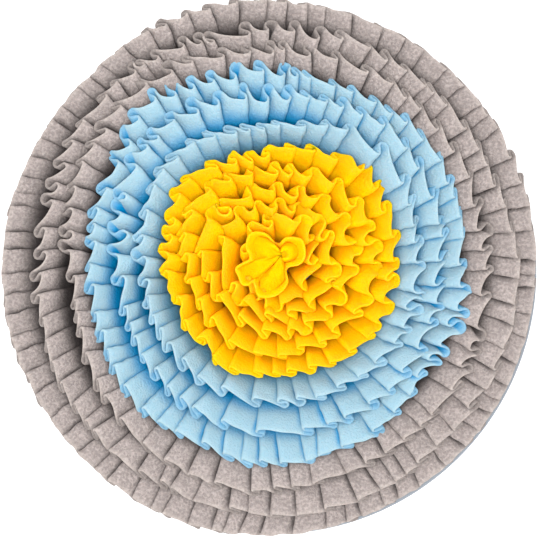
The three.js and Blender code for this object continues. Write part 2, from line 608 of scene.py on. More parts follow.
@dataclass(frozen=True)
class PleatShape:
    """How the pleats of a strip look at its free edge, pressed and gaping, in mm.

    Attributes:
        crest: Radius of the bend where a face turns back under the next pleat.
        fold: Radius of the bend where the next face starts.
        back: Length of the run back between the two bends.
        back_angle: How far the run back climbs, in degrees.
        bow: How much a face bends up towards its crest, in degrees.
        droop: How much the strip flattens towards its free edge, from 0 to 1.
        rim: Where the edge tone begins, as a share of the way out; on soft ruffles it is painted
            shade on the lit outer part.
    """

    crest: tuple[float, float]
    fold: tuple[float, float]
    back: tuple[float, float]
    back_angle: tuple[float, float]
    bow: tuple[float, float]
    droop: float
    rim: float


KNIFE_PLEATS = PleatShape(
    crest=(2.1, 4.8),
    fold=(1.7, 3.2),
    back=(5.5, 4.2),
    back_angle=(10.0, 62.0),
    bow=(10.0, 38.0),
    droop=0.62,
    rim=0.93,
)
SOFT_RUFFLES = PleatShape(
    crest=(2.2, 6.0),
    fold=(1.9, 5.0),
    back=(5.0, 3.0),
    back_angle=(18.0, 112.0),
    bow=(10.0, 40.0),
    droop=0.85,
    rim=0.66,
)


@dataclass(frozen=True)
class Ring:
    """One frill: its place on the mat and the unevenness of its free edge, in mm.

    Attributes:
        name: The CAD node that it stands for.
        cloth: What it is cut from.
        pleats: How many pleats it has.
        sewn: Radius of its sewn edge.
        sewn_at: Centre of its sewn edge.
        free: Mean radius of its free edge.
        free_at: Centre of its free edge.
        gape: How open its pleats are at the least, from 0 to 1.
        shape: The look of its pleats.
        lobes: Even swells of its free edge.
        gapes: Stretches where its pleats open further.
        nudges: Stretches where its free edge lies further out or in, in mm.
        tucks: Stretches where its sewn edge lies further out or in, in mm.
        leans: Stretches where its pleats lean round the ring, in degrees of the ring.
        wides: Pleats that are wider than the rest, by a share of the mean width.
        ragged: How far the cut edge strays in or out, in mm.
        raised: How far even its pressed pleats turn upright, from 0 to 1.
        shaded: How much of the painted fold shade shows on it, from 0 to 1.
    """

    name: str
    cloth: Cloth
    pleats: int
    sewn: float
    sewn_at: tuple[float, float]
    free: float
    free_at: tuple[float, float]
    gape: float
    shape: PleatShape
    lobes: tuple[Lobe, ...]
    gapes: tuple[Spot, ...] = ()
    nudges: tuple[Spot, ...] = ()
    tucks: tuple[Spot, ...] = ()
    leans: tuple[Spot, ...] = ()
    wides: tuple[Spot, ...] = ()
    ragged: float = 1.5
    raised: float = 0.28
    shaded: float = 1.0

    def free_radius(self, angle: Array) -> Array:
        """Give the free edge's radius round its own centre.

        Args:
            angle: Directions in radians.

        Returns:
            The radius in mm in each direction.
        """
        swell = sum(
            lobe.depth * np.cos(lobe.count * (angle - math.radians(lobe.at))) for lobe in self.lobes
        )
        return self.free + swell + sum(nudge.along(angle) for nudge in self.nudges)

    def sewn_radius(self, angle: Array) -> Array:
        """Give the sewn edge's radius in mm round its own centre, in each direction."""
        return self.sewn + sum(tuck.along(angle) for tuck in self.tucks) + np.zeros_like(angle)

    def openness(self, angle: Array) -> Array:
        """Give how open the pleats are, from 0 to 1, in each direction."""
        return np.clip(self.gape + sum(spot.along(angle) for spot in self.gapes), 0.0, 1.0)

    def lean(self, angle: Array) -> Array:
        """Give how far the free edge is turned against the sewn edge, in radians."""
        return np.radians(sum(spot.along(angle) for spot in self.leans) + np.zeros_like(angle))

    def reach(self, angle: Array, edge: float) -> Array:
        """Give the distance from the mat's middle to a line along the strip.

        Args:
            angle: Directions in radians.
            edge: 0 for the sewn edge, 1 for the free edge.

        Returns:
            The distance in mm in each direction.
        """
        radius = lerp(self.sewn_radius(angle), self.free_radius(angle), edge)
        centre_x = lerp(self.sewn_at[0], self.free_at[0], edge)
        centre_y = lerp(self.sewn_at[1], self.free_at[1], edge)
        return radius + centre_x * np.cos(angle) + centre_y * np.sin(angle)


RINGS = (
    Ring(
        "frill_grey_1", Cloth.GREY, pleats=74, shape=KNIFE_PLEATS, gape=0.08,
        sewn=204, sewn_at=(0, 0), free=248.3, free_at=(-0.6, 0.4),
        lobes=(Lobe(2, 1.2, 59), Lobe(4, 0.6, 5), Lobe(5, 0.8, -36)),
        gapes=(Spot(105, 16, 0.25), Spot(20, 5, 0.3)),
        nudges=(
            Spot(84, 2, -1.5), Spot(133, 2, -2), Spot(264, 2, -1.5), Spot(140, 60, 1.2),
            Spot(220, 40, 1.0), Spot(310, 40, -0.5),
        ),
        leans=(Spot(128, 10, 3.0), Spot(290, 25, -1.5)),
        ragged=0.6, raised=0.05,
    ),
    Ring(
        "frill_grey_2", Cloth.GREY, pleats=66, shape=KNIFE_PLEATS, gape=0.1,
        sewn=183, sewn_at=(1, 0), free=225, free_at=(4, -2.7),
        lobes=(Lobe(2, 1.7, -76), Lobe(3, 1.4, -3), Lobe(5, 1.6, -5)),
        gapes=(Spot(98, 32, 0.6), Spot(160, 24, 0.4), Spot(178, 5, 0.2), Spot(340, 20, 0.1)),
        nudges=(Spot(120, 14, 2.5), Spot(165, 14, -2)),
        leans=(Spot(110, 20, 2.0), Spot(250, 30, -1.5)),
    ),
    Ring(
        "frill_grey_3", Cloth.GREY, pleats=55, shape=KNIFE_PLEATS, gape=0.2,
        sewn=162, sewn_at=(2, 1), free=201.5, free_at=(3.6, 1.7),
        lobes=(Lobe(2, 4.7, -82), Lobe(3, 2.8, 11), Lobe(4, 2.2, -33)),
        gapes=(
            Spot(5, 12, 0.5), Spot(75, 16, 0.4), Spot(106, 20, 0.5), Spot(138, 16, 0.4),
            Spot(165, 16, 0.5), Spot(340, 16, 0.7),
        ),
        nudges=(Spot(122, 14, 2.5), Spot(188, 16, -3), Spot(268, 12, 2)),
        leans=(Spot(130, 20, 1.5), Spot(215, 20, -2.5), Spot(60, 20, 1.5)),
    ),
    Ring(
        "frill_blue_1", Cloth.BLUE, pleats=55, shape=KNIFE_PLEATS, gape=0.2,
        sewn=142, sewn_at=(3, 3), free=179.2, free_at=(2, 4.1),
        lobes=(Lobe(2, 4.1, 89), Lobe(3, 3.4, 8), Lobe(4, 2.8, 33)),
        gapes=(Spot(115, 38, 0.52), Spot(165, 16, 0.3), Spot(43, 12, 0.15), Spot(338, 18, 0.7)),
        nudges=(
            Spot(324, 5, -4), Spot(345, 9, 6), Spot(272, 12, 4), Spot(300, 8, 2.5),
            Spot(205, 12, -3), Spot(244, 10, -4), Spot(110, 10, -4), Spot(130, 9, 3.5),
            Spot(145, 10, -3), Spot(40, 12, 2.5),
        ),
        leans=(Spot(290, 8, -2.0), Spot(60, 20, 1.5), Spot(215, 25, -2.0)),
    ),
    Ring(
        "frill_blue_2", Cloth.BLUE, pleats=45, shape=KNIFE_PLEATS, gape=0.25,
        sewn=122, sewn_at=(4, 5), free=157.5, free_at=(7, 7.9),
        lobes=(Lobe(2, 3.3, -77), Lobe(3, 3.2, 23), Lobe(4, 2.8, -43)),
        gapes=(
            Spot(99, 22, 0.65), Spot(135, 16, 0.35), Spot(165, 16, 0.55), Spot(225, 15, 0.15),
            Spot(335, 20, 0.65),
        ),
        leans=(Spot(240, 25, -2.5), Spot(40, 20, 2.0)),
        wides=(Spot(270, 6, 0.7),),
    ),
    Ring(
        "frill_blue_3", Cloth.BLUE, pleats=40, shape=KNIFE_PLEATS, gape=0.22,
        sewn=102, sewn_at=(5, 7), free=132.5, free_at=(8.6, 8.7),
        lobes=(Lobe(3, 3, 33), Lobe(4, 3.7, -39), Lobe(5, 1.5, -17)),
        gapes=(
            Spot(0, 12, 0.35), Spot(40, 20, 0.75), Spot(130, 20, 0.3), Spot(165, 16, 0.5),
            Spot(335, 20, 0.75),
        ),
        leans=(Spot(220, 25, -2.5), Spot(100, 25, 1.5)),
        wides=(Spot(41, 7, 0.9), Spot(249, 7, 0.6)),
        shaded=0.55,
    ),
    Ring(
        "frill_yellow_1", Cloth.YELLOW, pleats=33, shape=SOFT_RUFFLES, gape=0.15,
        sewn=83, sewn_at=(6, 8), free=108.5, free_at=(8.1, 9.2),
        lobes=(Lobe(2, 1.4, -8), Lobe(3, 2.6, 37), Lobe(4, 3.1, -36)),
        gapes=(Spot(35, 16, 0.5), Spot(98, 22, 0.3), Spot(165, 16, 0.3), Spot(335, 18, 0.55)),
        nudges=(
            Spot(15, 9, 4), Spot(50, 9, 3.5), Spot(63, 7, -3), Spot(102, 7, -4), Spot(120, 7, -5),
            Spot(163, 12, -5), Spot(202, 6, -3), Spot(230, 6, -6), Spot(245, 10, 3.5),
        ),
        leans=(Spot(60, 20, 2.0), Spot(200, 30, -2.0)),
    ),
    Ring(
        "frill_yellow_2", Cloth.YELLOW, pleats=25, shape=SOFT_RUFFLES, gape=0.2,
        sewn=66, sewn_at=(6, 8.5), free=88.5, free_at=(6.8, 8.8),
        lobes=(Lobe(2, 2, -18), Lobe(3, 3, 23), Lobe(4, 1.7, -27)),
        gapes=(Spot(20, 55, 0.5), Spot(110, 30, 0.4), Spot(325, 25, 0.35)),
    ),
    Ring(
        "frill_yellow_3", Cloth.YELLOW, pleats=18, shape=SOFT_RUFFLES, gape=0.3,
        sewn=50, sewn_at=(6, 8.5), free=69.5, free_at=(6.2, 8.7),
        lobes=(Lobe(2, 2.2, -13), Lobe(3, 2.4, 31)),
        gapes=(Spot(20, 60, 0.5), Spot(110, 35, 0.4), Spot(320, 30, 0.3)),
    ),
    Ring(
        "frill_yellow_4", Cloth.YELLOW, pleats=14, shape=SOFT_RUFFLES, gape=0.4,
        sewn=35, sewn_at=(6, 8.5), free=53.5, free_at=(5, 8),
        lobes=(Lobe(2, 1.6, -44), Lobe(3, 1.6, 31)),
        gapes=(Spot(20, 60, 0.4), Spot(110, 35, 0.4)),
        nudges=(Spot(75, 30, 2.0), Spot(180, 25, 2.5)),
        wides=(Spot(180, 14, 0.9),),
    ),
    Ring(
        "frill_yellow_5", Cloth.YELLOW, pleats=10, shape=SOFT_RUFFLES, gape=0.6,
        sewn=21.5, sewn_at=(6, 8.5), free=37.5, free_at=(5.5, 8.5),
        lobes=(Lobe(2, 1.2, 71), Lobe(3, 1, 56)),
        gapes=(Spot(68, 34, -0.3), Spot(270, 22, -0.2), Spot(325, 20, -0.3)),
        nudges=(Spot(68, 34, 4.5), Spot(270, 22, 5.0), Spot(178, 34, -7.0)),
        tucks=(Spot(85, 36, -7.0), Spot(315, 32, -5.0)),
    ),
    Ring(
        "frill_yellow_6", Cloth.YELLOW, pleats=5, shape=SOFT_RUFFLES, gape=0.8,
        sewn=9, sewn_at=(6, 8.5), free=18.5, free_at=(6, 8.5),
        lobes=(Lobe(3, 0.8, 28),),
    ),
)


@dataclass(frozen=True)
class Fleece:
    """The sizes that all strips of fleece share, in mm and degrees.

    Attributes:
        thickness: Thickness of the fleece.
        width: Width of a strip as cut.
        gap: Clearance between a strip and what it lies on.
        backing_top: Height of the backing's upper side.
        sewn_fold: Radius of the pleats' bends at the sewn edge.
        outer_slope: How steeply the outermost frill rises, in degrees.
        slack: How much of its width a strip stands up with, against a taut one.
        stand: How steeply a gaping pleat stands, in degrees.
        rearing: How late on the way out the pleats turn upright.
        nesting: How high a pressed and a gaping strip pile up, against their bends.
        loose: How much higher the frills lie where they lie loosest.
        loose_towards: The direction in which they lie loosest, in degrees.
        trim: How far from the cut edge the cloth starts to round off.
        rounding: Rows between there and the edge: distance from the edge as a share of
            the trim, and thickness as a share of the whole.
    """

    thickness: float = 2.2
    width: float = 46.0
    gap: float = 0.35
    backing_top: float = 2.0
    sewn_fold: float = 1.3
    outer_slope: float = 8.0
    slack: float = 0.9
    stand: float = 70.0
    rearing: float = 1.5
    nesting: tuple[float, float] = (0.8, 1.0)
    loose: float = 0.8
    loose_towards: float = 115.0
    trim: float = 1.3
    rounding: tuple[tuple[float, float], ...] = ((0.4, 0.86), (0.0, 0.45))

    def rows(self, count: int) -> tuple[Array, Array]:
        """Set out the rows of a strip from its sewn edge to its free edge.

        Args:
            count: Rows up to where the cut edge starts to round off.

        Returns:
            Each row's place, 0 at the sewn edge and 1 at the free edge, and half the
            cloth's thickness there in mm.
        """
        trim = self.trim / self.width
        places, shares = zip(*self.rounding)
        across = np.append(np.linspace(0.0, 1.0 - trim, count), 1.0 - np.array(places) * trim)
        half = np.full(len(across), self.thickness / 2.0)
        half[count:] *= shares
        return across, half


FLEECE = Fleece()


def looseness(angle: Array) -> Array:
    """Give how loosely the frills lie in each direction, from 0 to 1."""
    return 0.5 + 0.5 * np.cos(turn_apart(angle, FLEECE.loose_towards))


def stood_up(slope: Array, opened: Array, share: Array | float, raised: float) -> Array:
    """Give the direction in which the pleats stand off their strip.

    Args:
        slope: The strip's own slope, in radians.
        opened: How open the pleats are, from 0 to 1.
        share: Place between the sewn edge and the free edge.
        raised: How far pressed pleats turn upright.

    Returns:
        Their lean from upright, in radians: the slope where they are pressed flat, and
        steeper where they gape.
    """
    steep = np.maximum(slope, math.radians(FLEECE.stand))
    turned = lerp(raised, 1.0, np.clip(opened, 0.0, 1.0))
    return lerp(slope, steep, turned * share**FLEECE.rearing)


@dataclass
class Settled:
    """Where one frill has settled, on a grid of directions round the mat, in mm.

    Attributes:
        sewn_height: Height of its middle surface at the sewn edge.
        free_height: The same at the free edge.
        sewn_reach: Distance of its sewn edge from the mat's middle.
        free_reach: The same for its free edge.
        root: Half the height of its pleats at the sewn edge, cloth included.
        tip: The same at the free edge.
        opened: How open its pleats are, from 0 to 1.
        ring: The ring that it belongs to.
    """

    sewn_height: Array
    free_height: Array
    sewn_reach: Array
    free_reach: Array
    root: Array
    tip: Array
    opened: Array
    ring: Ring

    def rise(self, share: Array | float) -> Array | float:
        """Give the part of the full height reached at a share of the way out."""
        return share + self.ring.shape.droop * share * (1.0 - share)

    def steepness(self, share: Array | float) -> Array | float:
        """Give how steep the strip is at a share of the way out, against its mean."""
        return 1.0 + self.ring.shape.droop * (1.0 - 2.0 * share)

    def top(self, reach: Array) -> Array:
        """Give the height of the frill's upper side.

        Args:
            reach: Distances from the mat's middle, one for each direction.

        Returns:
            The height in mm, in each direction.
        """
        run = self.free_reach - self.sewn_reach
        share = np.clip((reach - self.sewn_reach) / run, 0.0, 1.0)
        climb = self.free_height - self.sewn_height
        return self.sewn_height + climb * self.rise(share) + self.lift(share, climb / run)

    def lift(self, share: Array, slope: Array) -> Array:
        """Give half the upright thickness of the pleated strip.

        Args:
            share: Place between the sewn edge and the free edge.
            slope: Rise of the strip for each mm outward.

        Returns:
            The half thickness in mm.
        """
        local = slope * self.steepness(share)
        stand = stood_up(np.arctan(local), self.opened, share, self.ring.raised)
        return lerp(self.root, self.tip, share) * (np.cos(stand) + np.sin(stand) * local)


@dataclass
class Stack:
    """The frills laid on one another from the outside in.

    Attributes:
        rings: The rings, from the outside in.
        directions: How many directions round the mat are worked out.
        checks: At how many places across a strip it is lifted off the one below.
        leaning: Where those places start, as a share of the way out.
        even_reach: How many directions on either side a height is evened over.
        even_spread: How quickly their weight falls away, in directions.
        angles: The directions in radians.
        settled: Where each ring lies.
    """

    rings: tuple[Ring, ...]
    directions: int = 360
    checks: int = 14
    leaning: float = 0.45
    even_reach: int = 18
    even_spread: float = 6.0
    angles: Array = field(init=False)
    settled: list[Settled] = field(init=False, default_factory=list)

    def __post_init__(self) -> None:
        """Settle every ring on the one outside it."""
        self.angles = np.arange(self.directions) * TURN / self.directions
        for ring in self.rings:
            self.settled.append(self.settle(ring))

    def settle(self, ring: Ring) -> Settled:
        """Lay one ring on the last settled one.

        Args:
            ring: The ring to lay down.

        Returns:
            Where it lies.
        """
        sewn_reach = ring.reach(self.angles, 0.0)
        free_reach = ring.reach(self.angles, 1.0)
        run = free_reach - sewn_reach
        root = np.full_like(run, 2.0 * FLEECE.sewn_fold + FLEECE.thickness / 2.0)
        tip = self.tip_height(ring)
        opened = ring.openness(self.angles)
        sewn_height = FLEECE.backing_top + FLEECE.gap + root
        if self.settled:
            least = FLEECE.slack * np.sqrt(np.maximum(FLEECE.width**2 - run**2, 0.0))
        else:
            least = run * math.tan(math.radians(FLEECE.outer_slope))
        high = sewn_height + least
        laid = Settled(sewn_height, high, sewn_reach, free_reach, root, tip, opened, ring)
        if not self.settled:
            return laid
        low = self.settled[-1]
        clear = FLEECE.gap + FLEECE.loose * looseness(self.angles)
        for share in np.linspace(self.leaning, 1.0, self.checks):
            reach = lerp(sewn_reach, free_reach, share)
            drop = laid.lift(share, least / run) + clear
            inside = reach > low.sewn_reach - low.root
            needed = (low.top(reach) + drop - sewn_height) / laid.rise(share)
            least = np.where(inside, np.maximum(least, needed), least)
        laid.free_height = sewn_height + self.evened(least)
        return laid

    def tip_height(self, ring: Ring) -> Array:
        """Give half the height of the pleats at the free edge, cloth included.

        Args:
            ring: The ring.

        Returns:
            The half height in mm, in each direction.
        """
        opened = ring.openness(self.angles)
        bends = lerp(*ring.shape.crest, opened) + lerp(*ring.shape.fold, opened)
        angle = np.radians(lerp(*ring.shape.back_angle, opened))
        drop = bends * (1.0 + np.cos(angle)) + lerp(*ring.shape.back, opened) * np.sin(angle)
        return drop / 2.0 * lerp(*FLEECE.nesting, opened) + FLEECE.thickness / 2.0

    def evened(self, height: Array) -> Array:
        """Even out a height round the mat without lowering its peaks much.

        Args:
            height: The height in each direction.

        Returns:
            The evened height.
        """
        reach = self.even_reach
        spread = np.exp(-0.5 * (np.arange(-reach, reach + 1) / self.even_spread) ** 2)
        spread /= spread.sum()
        wrapped = np.concatenate([height[-reach:], height, height[:reach]])
        return np.convolve(wrapped, spread, mode="valid")

    def at(self, index: int, name: str, angle: Array) -> Array:
        """Read a settled value in any direction.

        Args:
            index: The ring's place, from the outside in.
            name: The value's name in Settled.
            angle: Directions in radians.

        Returns:
            The value in each direction.
        """
        grid = getattr(self.settled[index], name)
        return np.interp(angle % TURN, np.append(self.angles, TURN), np.append(grid, grid[0]))


@dataclass
class PleatLine:
    """The line of a pleated strip at one distance from its sewn edge, in mm.

    A pleat is a face, a crest where it turns back, a run back and a fold where the next
    face starts. Each value is an array with one number for each pleat.

    Attributes:
        crest: Radius of each crest.
        fold: Radius of each fold.
        back: Length of each run back.
        climb: Angle of each run back, in radians.
        bow: Half the bend of each face, in radians.
        shadow: Reach of the painted shade that each next pleat throws on a face.
        start: Place of each pleat's start along the ring.
        whole: Length of the ring.
        face_steps: Points along a face.
        crest_steps: Points round a crest.
        back_steps: Points along a run back.
        fold_steps: Points round a fold.
        first_tilt: First guess at the direction of the faces, in radians.
        passes: How often the guess is bettered.
        shade_start: How near the next pleat the painted shade is at its deepest.
        fold_shade: Over what share of a fold its painted shade fades out.
    """

    crest: Array
    fold: Array
    back: Array
    climb: Array
    bow: Array
    shadow: Array
    start: Array
    whole: float

    face_steps: int = 10
    crest_steps: int = 7
    back_steps: int = 3
    fold_steps: int = 6
    first_tilt: float = 0.2
    passes: int = 8
    shade_start: float = 0.8
    fold_shade: float = 0.6

    def drop(self) -> Array:
        """Give how far the turns take each pleat from its crest up to the next start."""
        turned = np.cos(self.climb) + np.cos(self.bow)
        return (self.crest + self.fold) * turned + self.back * np.sin(self.climb)

    def trace(self) -> tuple[Array, Array, Array]:
        """Fold the line.

        Returns:
            Places along the ring, heights towards the underside, and lengths of cloth,
            each with a row for each pleat.
        """
        drop = self.drop()
        low = 0.5 * calmed(drop)
        begin = np.roll(low - drop, 1)
        step_x = np.append(self.start[1:], self.start[0] + self.whole) - self.start
        step_y = np.roll(begin, -1) - begin
        tilt = np.full_like(self.start, self.first_tilt)
        for _ in range(self.passes):
            enter = tilt - self.bow
            leave = tilt + self.bow
            over_x = self.crest * (np.sin(leave) + np.sin(self.climb))
            over_y = -self.crest * (np.cos(leave) + np.cos(self.climb))
            back_x = -self.back * np.cos(self.climb)
            back_y = -self.back * np.sin(self.climb)
            into = np.roll(enter, -1)
            under_x = self.fold * (np.sin(into) + np.sin(self.climb))
            under_y = -self.fold * (np.cos(into) + np.cos(self.climb))
            chord_x = step_x - over_x - back_x - under_x
            chord_y = step_y - over_y - back_y - under_y
            tilt = np.arctan2(chord_y, chord_x)
            length = np.hypot(chord_x, chord_y) * self.bow / np.sin(self.bow)
        return self.sample(begin, tilt, length)

    def sample(self, begin: Array, tilt: Array, length: Array) -> tuple[Array, Array, Array]:
        """Place points along the folded line.

        Args:
            begin: Height of each pleat's start.
            tilt: Mean direction of each face, in radians.
            length: Length of each face.

        Returns:
            The same as trace.
        """
        enter = (tilt - self.bow)[:, None]
        leave = (tilt + self.bow)[:, None]
        into = np.roll(enter, -1, axis=0)
        returning = (self.climb - math.pi)[:, None]
        place = np.stack([self.start, begin], axis=1)[:, None, :]
        bend = (length / (2.0 * self.bow))[:, None]
        face, place = self.arc(place, bend, enter, leave, self.face_steps)
        crest, place = self.arc(place, -self.crest[:, None], leave, returning, self.crest_steps)
        course = np.stack([np.cos(returning), np.sin(returning)], axis=2) * self.back[:, None, None]
        share = np.arange(self.back_steps)[None, :, None] / self.back_steps
        back = place + share * course
        fold, _ = self.arc(place + course, self.fold[:, None], returning, into, self.fold_steps)
        line = np.concatenate([face, crest, back, fold], axis=1)
        turns = self.crest * (leave - returning)[:, 0] + self.fold * (into - returning)[:, 0]
        return line[..., 0], line[..., 1], length + self.back + turns

    def shade(self, along: Array) -> Array:
        """Give the painted shade along the line, deepest in the gap beside the next pleat.

        Args:
            along: Places along the ring, as trace gives them.

        Returns:
            0 on the open faces, rising to 1 in the gaps and behind the pleats.
        """
        following = np.append(self.start[1:], self.start[0] + self.whole) - self.fold
        away = following[:, None] - along[:, : self.face_steps]
        face = 1.0 - smooth(0.0, 1.0, (away - self.shade_start) / self.shadow[:, None])
        hidden = np.ones((len(self.start), self.crest_steps + self.back_steps))
        turn = 1.0 - smooth(0.0, self.fold_shade * self.fold_steps, np.arange(self.fold_steps))
        fold = np.broadcast_to(turn, (len(self.start), self.fold_steps))
        return np.concatenate([face, hidden, fold], axis=1)

    @staticmethod
    def arc(
        place: Array, radius: Array, first: Array, last: Array, steps: int
    ) -> tuple[Array, Array]:
        """Follow an arc from a place.

        Args:
            place: Where each arc starts.
            radius: Its radius, negative where it turns clockwise.
            first: Its direction at the start, in radians.
            last: Its direction at the end.
            steps: How many points it gets, the end left out.

        Returns:
            The points of each arc, and where it ends.
        """

        def moved(course: Array) -> Array:
            """Follow the arc to where it has turned to a direction.

            Args:
                course: That direction in radians.

            Returns:
                The way there from the start.
            """
            east = radius * (np.sin(course) - np.sin(first))
            north = -radius * (np.cos(course) - np.cos(first))
            return np.stack([east, north], axis=2)

        share = np.arange(steps) / steps
        return place + moved(lerp(first, last, share)), place + moved(last)


@dataclass
class Frill:
    """One pleated strip of fleece, sewn down along its inner edge.

    Attributes:
        index: Its ring's place, from the outside in.
        ring: Its ring's sizes.
        stack: Where the rings have settled.
        row_count: Rows of points up to where the cut edge rounds off.
        seed: What the seeds of the frills' random sizes count up from.
        size_spread: Least and greatest size of a part of a pleat, against the mean.
        width_spread: How far the pleats' widths stray, as a share of the mean.
        open_spread: How far their openness strays, from 0 to 1.
        most_open: The most that a pleat opens.
        lean_spread: How far they lean round the ring at random, in degrees of the ring.
        shadow_spread: Least and greatest reach of the painted shade beside a pleat, in mm.
        growth: How late the pleats grow to full size on the way out.
        clearance: Least bend of the cloth beyond half its own thickness, in mm.
        widest: Greatest radius of a crest and of a fold, against the pitch.
        sewn_back: Run back at the sewn edge: a share of the pitch, and more in mm.
        sewn_climb: How far the run back climbs at the sewn edge, in degrees.
        least_bow: Least bend of a face, in radians.
        wave_count: How many waves of soft unevenness run through the cloth.
        wave_height: Height of each wave in mm.
        wave_pitch: How tight the first wave is, in radians a mm, and how much tighter
            each next one is.
        wave_span: Where across the strip the waves begin and where they are full.
        bared: How much of the gaps' painted shade is lost at the free edge.
        bared_span: Where across the strip that loss begins and where it is full.
        pocket_reach: How far out the painted shade of the pockets between the frills reaches,
            where the frills lie tightest and where they lie loosest.
        pocket_start: Up to what share of that reach their painted shade is full.
        edge_full: Where across the strip the edge tone, on yellow partly painted shade, is full.
        angles: Direction of each pleat's start, in radians.
        opened: How open each pleat is.
        more: Size of each part of each pleat, against the mean, by the part's name.
        cut: How far the cut edge strays at each end of each face, in mm.
        tilt: How far each pleat leans round the ring, in radians of the ring.
        waves: Direction and phase of each wave.
        shadow: Reach of the painted shade beside each pleat, in mm.
        strip_length: Length of the free edge, once built, in mm.
    """

    index: int
    ring: Ring
    stack: Stack
    row_count: int = 13
    seed: int = 4100
    size_spread: tuple[float, float] = (0.65, 1.4)
    width_spread: float = 0.28
    open_spread: float = 0.22
    most_open: float = 1.15
    lean_spread: float = 3.0
    shadow_spread: tuple[float, float] = (2.5, 8.0)
    growth: float = 1.1
    clearance: float = 0.1
    widest: tuple[float, float] = (0.27, 0.22)
    sewn_back: tuple[float, float] = (0.3, 1.5)
    sewn_climb: float = 3.0
    least_bow: float = 0.02
    wave_count: int = 5
    wave_height: float = 0.45
    wave_pitch: tuple[float, float] = (0.16, 0.06)
    wave_span: tuple[float, float] = (0.1, 0.7)
    bared: float = 0.65
    bared_span: tuple[float, float] = (0.76, 0.98)
    pocket_reach: tuple[float, float] = (0.6, 0.84)
    pocket_start: float = 0.4
    edge_full: float = 0.99
    angles: Array = field(init=False)
    opened: Array = field(init=False)
    more: dict[str, Array] = field(init=False)
    cut: Array = field(init=False)
    tilt: Array = field(init=False)
    waves: Array = field(init=False)
    shadow: Array = field(init=False)
    strip_length: float = field(init=False, default=0.0)

    def __post_init__(self) -> None:
        """Choose the sizes of every pleat."""
        ring = self.ring
        rng = np.random.default_rng(self.seed + self.index)
        count = ring.pleats
        starts = np.arange(count) * TURN / count
        widths = 1.0 + rng.uniform(-1.0, 1.0, count) * self.width_spread
        widths += sum(spot.along(starts) for spot in ring.wides)
        self.angles = np.concatenate([[0.0], np.cumsum(widths)[:-1]]) / widths.sum() * TURN
        opened = ring.openness(self.angles) + rng.uniform(-1.0, 1.0, count) * self.open_spread
        self.opened = np.clip(opened, 0.0, self.most_open)
        low, high = self.size_spread
        parts = ("crest", "fold", "back", "climb", "bow")
        self.more = {part: rng.uniform(low, high, count) for part in parts}
        self.cut = rng.uniform(-1.0, 1.0, (count, 2)) * ring.ragged
        self.tilt = np.radians(calmed(rng.uniform(-1.0, 1.0, count)) * self.lean_spread)
        self.waves = rng.uniform(-1.0, 1.0, (self.wave_count, 4))
        self.shadow = lerp(*self.shadow_spread, rng.uniform(0.0, 1.0, count) ** 2)

    def line(self, across: float) -> PleatLine:
        """Set out the pleats at one distance from the sewn edge.

        Args:
            across: 0 at the sewn edge, 1 at the free edge.

        Returns:
            The line, ready to be folded.
        """
        ring, shape = self.ring, self.ring.shape
        radius = lerp(ring.sewn, ring.free, across)
        grown = across**self.growth
        sizes = {
            name: lerp(*getattr(shape, name), self.opened) * self.more[name]
            for name in ("crest", "fold", "back", "bow")
        }
        least = FLEECE.thickness / 2.0 + self.clearance
        climb = np.radians(lerp(*shape.back_angle, self.opened)) * self.more["climb"]
        lean = (ring.lean(self.angles) + self.tilt) * across
        pitch = TURN * radius / ring.pleats
        crest_limit, fold_limit = (share * pitch for share in self.widest)
        share, length = self.sewn_back
        return PleatLine(
            crest=np.clip(lerp(FLEECE.sewn_fold, sizes["crest"], grown), least, crest_limit),
            fold=np.clip(lerp(FLEECE.sewn_fold, sizes["fold"], grown), least, fold_limit),
            back=lerp(share * pitch + length, sizes["back"], grown),
            climb=lerp(math.radians(self.sewn_climb), climb, grown),
            bow=np.maximum(np.radians(sizes["bow"]) * grown, self.least_bow),
            shadow=self.shadow,
            start=(self.angles + lean) * radius,
            whole=TURN * radius,
        )

    def build(self, material: bpy.types.Material) -> bpy.types.Object:
        """Make the strip.

        Args:
            material: Its fleece.

        Returns:
            The new object.
        """
        across, half = FLEECE.rows(self.row_count)
        rows, gaps = zip(*(self.row(share) for share in across))
        points = np.stack(rows, axis=1) * MM
        angle = np.arctan2(points[:, -1, 1], points[:, -1, 0])
        values = self.shading(across, angle, np.stack(gaps, axis=1))
        return ClothMesh(self.ring.name + "_fleece", points, half * MM, values).build(material)

    def row(self, across: float) -> tuple[Array, Array]:
        """Place the points of one line round the ring.

        Args:
            across: 0 at the sewn edge, 1 at the free edge.

        Returns:
            The points in mm, and the painted shade of each in its gap, from 0 to 1.
        """
        ring = self.ring
        line = self.line(across)
        along, height, lengths = line.trace()
        if across == 1.0:
            self.strip_length = float(lengths.sum())
        angle = along.ravel() / lerp(ring.sewn, ring.free, across)
        height = height.ravel()
        steps = along.shape[1]
        opened = np.interp(angle, self.angles, self.opened, period=TURN)
        cut = self.uneven(steps) * across
        settled = {
            name: self.stack.at(self.index, name, angle)
            for name in ("sewn_height", "free_height", "sewn_reach", "free_reach")
        }
        climb = settled["free_height"] - settled["sewn_height"]
        run = settled["free_reach"] - settled["sewn_reach"]
        laid = self.stack.settled[self.index]
        slope = np.arctan2(climb * laid.steepness(across), run)
        stand = stood_up(slope, opened, across, ring.raised)
        radius = lerp(ring.sewn_radius(angle), ring.free_radius(angle), across)
        reach = radius + cut * np.cos(slope) + height * np.sin(stand)
        centre_x = lerp(ring.sewn_at[0], ring.free_at[0], across)
        centre_y = lerp(ring.sewn_at[1], ring.free_at[1], across)
        level = settled["sewn_height"] + climb * laid.rise(across) + cut * np.sin(slope)
        points = np.stack(
            [
                centre_x + reach * np.cos(angle),
                centre_y + reach * np.sin(angle),
                level - height * np.cos(stand),
            ],
            axis=1,
        )
        return self.crumpled(points, across), line.shade(along).ravel()

